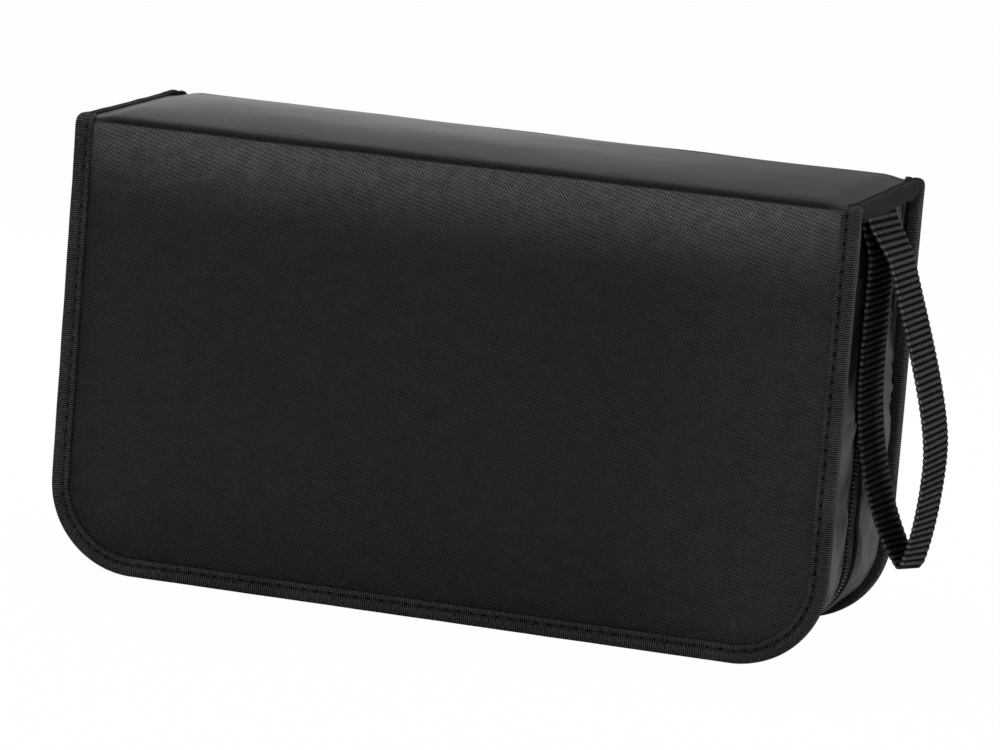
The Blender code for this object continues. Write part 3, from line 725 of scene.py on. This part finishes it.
# The webbing's middle line, as distances from the case's right edge and heights: down the end wall, round the
# bend and back up in a bow.
inner_top, outer_top = Vector((-0.0031, 0.1653)), Vector((-0.0012, 0.1653))
off_wall, bow = Vector((-0.0031, 0.1102)), Vector((0.0235, 0.0748))
inner_end, outer_start = Vector((0.0156, 0.0356)), Vector((0.0186, 0.0356))
low_point = Vector((0.0171, 0.0337))
wall_pull, turn_pull = Vector((0, -0.0380)), Vector((-0.0090, 0.0130))
rise_pull, shoulder_pull = Vector((0.0030, 0.0090)), Vector((0.0049, -0.0221))
bow_below, bow_above = Vector((0, -0.0130)), Vector((0, 0.0220))
strap_line = [inner_top.lerp(off_wall, step / 3) for step in range(3)]
strap_line += interpolate_bezier(off_wall, off_wall + wall_pull, inner_end + turn_pull, inner_end, 9)
strap_line.append(low_point)
strap_line += interpolate_bezier(outer_start, outer_start + rise_pull, bow + bow_below, bow, 7)
strap_line += interpolate_bezier(bow, bow + bow_above, outer_top + shoulder_pull, outer_top, 12)[1:]

webbing_settings = {"Sheen Weight": 0.02, "Sheen Roughness": 0.5, "Specular IOR Level": 0.0, "Roughness": 0.7}
webbing, shader, spot = new_finish("ribbed_webbing", webbing_settings, "UV")
run = spot.part("X") * 1000
across = spot.part("Y") * 1000
crest = (run - rib_pitch * 250).wave(rib_pitch * 1000) * 0.5 + 0.5
crest = crest.math("POWER", crest, 0.6)
beads = (across + run * 0.45 + spot.cloudy(500.0) * 0.5).wave(3.1) * 0.5 + 0.5
painted_selvedge_highlight = (across - 19.0).size().step(17.2, 18.4)
worn = spot.cloudy(90.0) * 0.3 + spot.cloudy(800.0) * 0.4
# Painted highlight and shade: the webbing has no specular, so the ribs' crests are made light and their grooves
# dark in the colour. Both edges are made lighter too, standing in for glints.
tone = crest * crest * (beads * 0.75 + 0.15 + painted_selvedge_highlight * 0.6) + painted_selvedge_highlight * 0.1 + worn * 0.4
feed(shader, "Base Color", tone.shade(0.0006, 0.1350))
feed(shader, "Normal", (beads * (crest + 0.2)).bump(0.0006, 0.9))


def along_line(points, run):
    """A place and a direction at a distance along a smooth line through points."""
    for i in range(len(points) - 1):
        length = (points[i + 1] - points[i]).length
        if run <= length or i == len(points) - 2:
            t = min(run / length, 1)
            before = points[max(i - 1, 0)]
            after = points[min(i + 2, len(points) - 1)]
            a, b = points[i], points[i + 1]
            square = 2 * before - 5 * a + 4 * b - after
            cube = 3 * a - before - 3 * b + after
            place = 0.5 * (2 * a + (b - before) * t + square * t**2 + cube * t**3)
            way = 0.5 * ((b - before) + 2 * square * t + 3 * cube * t**2)
            return place, way.normalized()
        run -= length


def drawn_in(y, z):
    """How far the seam at the strap's end pulls everything there inwards, most at the strap's front edge."""
    share = min(max((y - strap_middle) / (strap_width / 2), -1), 1)
    return eased((z - pull_start) / pull_height) * (pull_rear + pull_twist * (1 - share))


strap_points = [Vector((case_right, 0)) + point for point in strap_line]
strap_length = sum((b - a).length for a, b in zip(strap_points, strap_points[1:]))
ring = [(-1, -0.55), (-1, 0), (-1, 0.55)] + [(s / 9, 1) for s in range(-8, 9, 2)]
ring += [(1, 0.55), (1, 0), (1, -0.55)] + [(s / 9, -1) for s in range(8, -9, -2)]
ring_lengths = [strap_width * (share + 1) / 2 for share, _ in ring] + [0.0]


def strap_spot(run, share, face, proud=0.0):
    """A point of the webbing, at a distance along it, a share of its half width across and on one face."""
    place, way = along_line(strap_points, run)
    out = Vector((way[1], -way[0]))
    rib = abs(math.sin(math.pi * run / rib_pitch)) ** 0.7
    spread = strap_width / 2 - 0.0003 + 0.0003 * rib
    low = 1 - min(abs(run - strap_length * 0.5) / 0.05, 1)
    outer = run > strap_length / 2
    place = place + out * face * (strap_thickness / 2 - rib_height + rib_height * rib + proud)
    rise = place[1] - 0.0022 * share * low**2 - 0.0008 * share
    y = strap_middle + share * spread
    if outer:
        y -= strap_lean * min(max((place[1] - lean_start) / lean_height, 0), 1) ** 2
    return Vector((place[0] - drawn_in(y, place[1]), y, min(rise, strap_tops[outer])))


def strap_point(u, v):
    share, face = ring[round(v * len(ring)) % len(ring)]
    return strap_spot(u * strap_length, share, face)


def strap_weave(u, v):
    return (u * strap_length, ring_lengths[round(v * len(ring))])


bm = warped_grid(round(strap_length / rib_pitch * 6), len(ring), strap_point, strap_weave)
bmesh.ops.remove_doubles(bm, verts=bm.verts, dist=1e-6)
bmesh.ops.holes_fill(bm, edges=[edge for edge in bm.edges if edge.is_boundary], sides=0)
strap = new_piece("wrist_strap_webbing", bm, webbing, 75)
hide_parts("wrist_strap")
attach(strap, "spine")


# The gusset's ends
# Under each end of the spine two flaps of the gusset's cloth are gathered and sewn in, one on each side of
# the zip. The end of the zip, its tape and last turns, runs up between them and is tacked under the spine.

flap_inner = 0.0068
flap_outer = 0.0434
flap_low = 0.1412

for name, end in (("left", LEFT), ("right", RIGHT)):
    x = case_left if end == LEFT else case_right
    flap_high = 0.1664 if end == LEFT else 0.1637
    flaps = bmesh.new()
    for side in (FRONT, REAR):

        def flap_point(u, v):
            y = flap_inner + (flap_outer - flap_inner) * u
            ripple = noise.noise(Vector((u * 5, v * 1.5, end * 3.0 + side))) * 0.0004
            sunk = 0.0030 * math.sin(math.pi * min(max((u - 0.22) / 0.78, 0), 1)) * max(1 - v, 0) ** 0.5
            z = flap_low + (flap_high - flap_low) * v
            if end == RIGHT:
                sunk += drawn_in(side * y, z)
            return Vector((x - end * (wall_inset + 0.0002 + ripple + sunk), side * y, z))

        bm = warped_grid(26, 14, flap_point, lambda u, v: (u * 0.035, v * 0.024))
        sewn_inner, sewn_outer, sewn_top = flap_inner + 0.001, flap_outer - 0.001, flap_high - 0.001
        let_swell(
            bm,
            lambda place: not sewn_inner < abs(place.y) < sewn_outer or place.z > sewn_top,
            3.0,
            0.05,
            lambda place: 0.0003 if end == RIGHT and abs(place.y - strap_middle) < strap_shelter else 0.0022,
        )
        mesh = bpy.data.meshes.new("flap")
        closed_sheet(bm, wall_thickness).to_mesh(mesh)
        flaps.from_mesh(mesh)
        bm.free()
        bpy.data.meshes.remove(mesh)
    patch = new_piece(f"gusset_flaps_{name}", flaps, taffeta, 70)
    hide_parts(f"gusset_end_{name}")
    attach(patch, "spine")
    bm = bmesh.new()
    for side in (FRONT, REAR):
        for number in range(7):
            y, z = side * (flap_inner + 0.0016), flap_low + 0.0028 * (number + 1)
            sunk = drawn_in(y, z) if end == RIGHT else 0
            place = Vector((x - end * (wall_inset - 0.0002 + sunk), y, z))
            sew(bm, place, Vector((0, 0, 1)), Vector((end, 0, 0)), 0.0011)
    stitches = new_piece(f"gusset_stitches_{name}", bm, thread, 80)
    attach(stitches, "spine")

    low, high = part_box(f"zip_end_tape_{name}")
    outer = low.x if end == LEFT else high.x

    def end_tape_point(u, v):
        wave = noise.noise(Vector((u * 4, v * 3, end * 2.0))) * 0.0002
        y, z = low.y + (high.y - low.y) * u, low.z + (high.z - low.z) * v
        sunk = drawn_in(y, z) if end == RIGHT else 0
        return Vector((outer - end * (wave + sunk), y, z))

    bm = warped_grid(16, 12, end_tape_point)
    tape = new_piece(f"end_tape_{name}", closed_sheet(bm, 0.0006), woven_tape)
    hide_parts(f"zip_end_tape_{name}")
    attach(tape, "spine")

for name, end in (("left", LEFT), ("right", RIGHT)):
    low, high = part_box(f"zip_end_chain_{name}")
    bm = bmesh.new()
    x = case_left if end == LEFT else case_right
    for side in (FRONT, REAR):
        for number in range(int((high.z - low.z) / coil_pitch)):
            z = low.z + (number + (0.5 if side == FRONT else 0.95)) * coil_pitch
            sunk = drawn_in(side * coil_far, z) if end == RIGHT else 0
            coil_turn(bm, Vector((x - end * sunk, 0, z)), Vector((-end, 0, 0)), Vector((0, 0, 1)), side)
    coil = new_piece(f"end_coil_{name}", bm, nylon, 80)
    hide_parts(f"zip_end_chain_{name}")
    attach(coil, "spine")


# Slider and pull
# Both are zinc castings, tumbled smooth and enamelled black. The pull hangs from the slider's bridge.

enamel_settings = {"Specular IOR Level": 0.6, "Coat Weight": 0.6, "Coat Roughness": 0.15, "Roughness": 0.3}
enamel, shader, spot = new_finish("black_enamel", enamel_settings)
feed(shader, "Base Color", (spot.cloudy(160.0, 4.0) + 0.5).shade(0.008, 0.016))
feed(shader, "Normal", spot.cloudy(900.0).bump(0.0001, 0.25))

for name, node, body in (("slider_casting", "zip_slider", "slider"), ("pull_tab", "zip_pull", "pull")):
    bm = bmesh.new()
    bm.from_mesh(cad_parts[node].data)
    bmesh.ops.remove_doubles(bm, verts=bm.verts, dist=1e-6)
    bmesh.ops.dissolve_limit(bm, angle_limit=math.radians(2), verts=bm.verts, edges=bm.edges)
    steep = math.radians(25)
    sharp = [edge for edge in bm.edges if len(edge.link_faces) == 2 and edge.calc_face_angle() > steep]
    bmesh.ops.bevel(
        bm, geom=sharp, offset=0.0002, segments=2, profile=0.5, affect="EDGES", material=-1, clamp_overlap=True
    )
    casting = new_piece(name, bm, enamel, 40)
    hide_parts(node)
    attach(casting, body)


# Linings, foam and boards
# Smooth woven lining covers the inside of each panel and is sewn round its edge. Between it and the twill
# lie a sheet of foam and a grey board, which only show where a panel is cut open.

lining_stitch_pitch = 0.0045

lining_settings = {"Sheen Weight": 0.15, "Roughness": 0.5, "Specular IOR Level": 0.35}
lining, shader, spot = new_finish("black_lining", lining_settings)
cells = (spot.part("X") * 1000).wave(0.6) * (spot.part("Z") * 1000).wave(0.6)
feed(shader, "Base Color", (cells * 0.3 + 0.5 + spot.cloudy(30.0) * 0.3).shade(0.006, 0.024))
feed(shader, "Normal", cells.bump(0.0001, 0.4))

for name, side in (("front", FRONT), ("rear", REAR)):
    low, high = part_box(f"{name}_cover_lining")
    inset = low.x - case_left
    inner_face = low.y if side == REAR else high.y
    face_rows = [(height, half) for height, step, half in cover_rows(inset) if step == 0]
    heights = [row for row in face_rows if row[0] < high.z - 0.001]
    heights.append((high.z, case_half - inset))

    def lining_point(u, v):
        height, half = heights[round(v * (len(heights) - 1))]
        across = 2 * u - 1
        soft = noise.noise(Vector((across * 5, height * 30, side * 6.0))) * 0.0006 * (1 - across**6)
        return Vector((case_middle + across * half, inner_face + side * 0.0005 - side * abs(soft), height))

    bm = warped_grid(60, len(heights) - 1, lining_point)
    sheet = new_piece(f"{name}_lining_cloth", closed_sheet(bm, 0.0005), lining)
    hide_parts(f"{name}_cover_lining")
    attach(sheet, f"{name}_cover")
    bm = bmesh.new()
    for number in range(2, int(edge_length / lining_stitch_pitch) - 1):
        place, inward, _ = edge_frame(number * lining_stitch_pitch, side)
        here = Vector((place.x, inner_face, place.z)) + inward * (inset + 0.0030)
        if here.z < high.z - 0.002:
            sew(bm, here, inward.cross(Vector((0, 1, 0))), Vector((0, -side, 0)), 0.0015)
    stitches = new_piece(f"{name}_lining_stitches", bm, thread, 80)
    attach(stitches, f"{name}_cover")

for name, node in (("spine_lining_cloth", "spine_lining"), ("leaf_strip_cloth", "leaf_strip")):
    low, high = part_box(node)

    def strip_point(u, v):
        soft = abs(noise.noise(Vector((u * 18, v * 3, 8.0)))) * 0.0002
        return Vector((low.x + (high.x - low.x) * u, low.y + (high.y - low.y) * v, high.z - soft))

    bm = warped_grid(60, 16, strip_point)
    sheet = new_piece(name, closed_sheet(bm, (high.z - low.z) * 0.8), lining)
    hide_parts(node)
    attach(sheet, "spine")

foam, shader, spot = new_finish("grey_foam", {"Roughness": 0.95})
feed(shader, "Base Color", (spot.cloudy(900.0) + 0.5).shade(0.08, 0.16))
feed(shader, "Normal", spot.cloudy(1500.0).bump(0.0003, 0.5))

board, shader, spot = new_finish("grey_board", {"Roughness": 0.8})
feed(shader, "Base Color", (spot.cloudy(260.0, 5.0) + 0.5).shade(0.22, 0.34))
feed(shader, "Normal", spot.cloudy(700.0).bump(0.0001, 0.3))

for panel in ("spine", "front_cover", "rear_cover"):
    for layer, finish, slot_name in (("foam", foam, "foam_pad"), ("board", board, "stiff_board")):
        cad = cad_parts[f"{panel}_{layer}"]
        cad.data.materials.clear()
        cad.data.materials.append(finish)


# The disc sleeves
# Each leaf is a sheet of pale non-woven felt with two clear film pockets welded to each face, side by side.
# The leaves are sewn together along the spine and hang free below it.

sleeve_count = 28
felt_thickness = 0.0007
film_gap = 0.00025
film_thickness = 0.00012
sleeve_low, sleeve_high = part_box("sleeve_leaves")
sleeve_middle = (sleeve_low.x + sleeve_high.x) / 2
sleeve_half = (sleeve_high.x - sleeve_low.x) / 2
sleeve_corner = 0.008
sleeve_spacing = (sleeve_high.y - sleeve_low.y - 0.004) / (sleeve_count - 1)

felt, shader, spot = new_finish("pale_felt", {"Roughness": 0.9, "Sheen Weight": 0.3})
feed(shader, "Base Color", (spot.cloudy(700.0, 4.0) + 0.5).shade((0.30, 0.31, 0.31), (0.46, 0.47, 0.47)))
feed(shader, "Normal", spot.cloudy(1200.0).bump(0.0002, 0.5))
film_settings = {"Roughness": 0.12, "Specular IOR Level": 0.5, "Coat Weight": 0.5, "Alpha": 0.35}
film, shader, spot = new_finish("clear_film", film_settings)
feed(shader, "Base Color", (spot.cloudy(40.0, 4.0) + 0.5).shade((0.40, 0.41, 0.42), (0.55, 0.56, 0.57)))
feed(shader, "Normal", spot.cloudy(60.0).bump(0.0006, 0.4))


def hang(x, height):
    """How a leaf's free part waves. All the leaves wave alike, so none cuts its neighbour."""
    free = max(1 - (height - sleeve_low.z) / (sleeve_high.z - sleeve_low.z), 0)
    return noise.noise(Vector((x * 9, height * 6, 3.0))) * 0.0028 * free


leaves = bmesh.new()
pockets = bmesh.new()
for number in range(sleeve_count):
    middle_y = sleeve_low.y + 0.002 + sleeve_spacing * number

    def leaf_point(u, v):
        height = sleeve_low.z + (sleeve_high.z - sleeve_low.z) * v
        short = max(sleeve_corner - (height - sleeve_low.z), 0)
        half = sleeve_half - sleeve_corner + math.sqrt(max(sleeve_corner**2 - short**2, 0))
        x = sleeve_middle + (2 * u - 1) * half
        return Vector((x, middle_y + hang(x, height), height))

    mesh = bpy.data.meshes.new("leaf")
    bm = closed_sheet(warped_grid(24, 20, leaf_point), felt_thickness)
    bm.to_mesh(mesh)
    bm.free()
    leaves.from_mesh(mesh)
    bpy.data.meshes.remove(mesh)
    for face in (FRONT, REAR):
        for half_side in (LEFT, RIGHT):

            def pocket_point(u, v):
                mouth = sleeve_low.z + 0.128 - 0.010 * math.sin(math.pi * u) ** 2
                height = sleeve_low.z + 0.004 + (mouth - sleeve_low.z - 0.004) * v
                x = sleeve_middle + half_side * (0.002 + (sleeve_half - 0.005) * u)
                proud = film_gap + 0.0004 * math.sin(math.pi * u) * math.sin(math.pi * v)
                back = 0.0 if face * middle_y > 0 else felt_thickness
                return Vector((x, middle_y + hang(x, height) + face * (proud + back), height))

            mesh = bpy.data.meshes.new("pocket")
            bm = closed_sheet(warped_grid(10, 8, pocket_point), film_thickness)
            bm.to_mesh(mesh)
            bm.free()
            pockets.from_mesh(mesh)
            bpy.data.meshes.remove(mesh)
sleeves = new_piece("disc_sleeves", leaves, felt)
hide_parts("sleeve_leaves")
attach(sleeves, "spine")
pocket_films = new_piece("sleeve_pockets", pockets, film)
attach(pocket_films, "spine")


# Floor, light and camera
# A white sweep, a wide soft light overhead, a low one behind on the left and a weak one from the front.

floor_mesh = bmesh.new()
bmesh.ops.create_grid(floor_mesh, x_segments=1, y_segments=1, size=6.0)
paper = bpy.data.materials.new("white_paper")
paper.use_nodes = True
tree = paper.node_tree
wire = Wire(tree)
tree.nodes["Principled BSDF"].inputs["Base Color"].default_value = (0.75, 0.75, 0.75, 1.0)
tree.nodes["Principled BSDF"].inputs["Roughness"].default_value = 0.9
glow = wire.node("ShaderNodeEmission", {}, {"Color": (1.0, 1.0, 1.0, 1.0), "Strength": 1.0})
seen = wire.node("ShaderNodeLightPath", out="Is Camera Ray")
mixed = wire.node("ShaderNodeMixShader", {}, {0: seen * 0.985, 2: glow})
tree.links.new(tree.nodes["Principled BSDF"].outputs[0], mixed.socket.node.inputs[1])
tree.links.new(mixed.socket, tree.nodes["Material Output"].inputs[0])
floor = new_piece("floor", floor_mesh, paper)

scene = bpy.context.scene
world = bpy.data.worlds.new("studio")
world.use_nodes = True
scene.world = world
tree = world.node_tree
wire = Wire(tree)
background = tree.nodes["Background"]
seen = wire.node("ShaderNodeLightPath", out="Is Camera Ray")
way = wire.node("ShaderNodeTexCoord", out="Generated")
low_down = 1 - way.part("Z").step(0.12, 0.45)
from_left = 1 - way.part("X").step(-0.36, -0.20) * 0.7
sweep = way.part("Y").step(-0.1, 0.6) * low_down * from_left
strength = seen + (1 - seen) * (0.20 + sweep * 0.36)
tree.links.new(strength.socket, background.inputs["Strength"])
background.inputs["Color"].default_value = (1.0, 1.0, 1.0, 1.0)


def softbox(name, place, size, watts, aim):
    lamp = bpy.data.lights.new(name, "AREA")
    lamp.shape = "RECTANGLE"
    lamp.size, lamp.size_y = size
    lamp.energy = watts
    made = bpy.data.objects.new(name, lamp)
    made.location = place
    made.rotation_euler = (Vector(aim) - Vector(place)).to_track_quat("-Z", "Y").to_euler()
    scene.collection.objects.link(made)


softbox("overhead", (-0.15, -0.05, 1.30), (1.2, 0.9), 11.0, (0.0, 0.0, 0.1))
softbox("behind_left", (-0.45, 0.72, 0.33), (0.6, 0.4), 1.3, (-0.05, 0.0, 0.17))
softbox("right_edge", (1.00, 0.45, 0.30), (0.5, 0.7), 5.0, (0.10, 0.0, 0.08))
softbox("front_fill", (-0.9, -1.6, 0.9), (1.2, 1.2), 2.0, (0.0, 0.0, 0.08))

azimuth, elevation, roll = math.radians(16.75), math.radians(9.63), math.radians(4.58)
distance, focal, shift_x, shift_y = 2.163, 5795.0, -16.2, -2.65
picture_width = 1000
level = math.cos(elevation)
back = Vector((math.sin(azimuth) * level, -math.cos(azimuth) * level, math.sin(elevation)))
right = Vector((math.cos(azimuth), math.sin(azimuth), 0))
up = back.cross(right)
camera = bpy.data.cameras.new("camera")
camera.sensor_width = 36.0
camera.lens = focal / picture_width * camera.sensor_width
camera.shift_x = -shift_x / picture_width
camera.shift_y = shift_y / picture_width
camera.clip_start, camera.clip_end = 0.1, 20
seat = bpy.data.objects.new("camera", camera)
level_right = right * math.cos(roll) + up * math.sin(roll)
level_up = -right * math.sin(roll) + up * math.cos(roll)
turn = Matrix((level_right, level_up, back)).transposed().to_4x4()
seat.matrix_world = Matrix.Translation(case_heart + back * distance) @ turn
scene.collection.objects.link(seat)
scene.camera = seat
scene.view_settings.view_transform = "Standard"
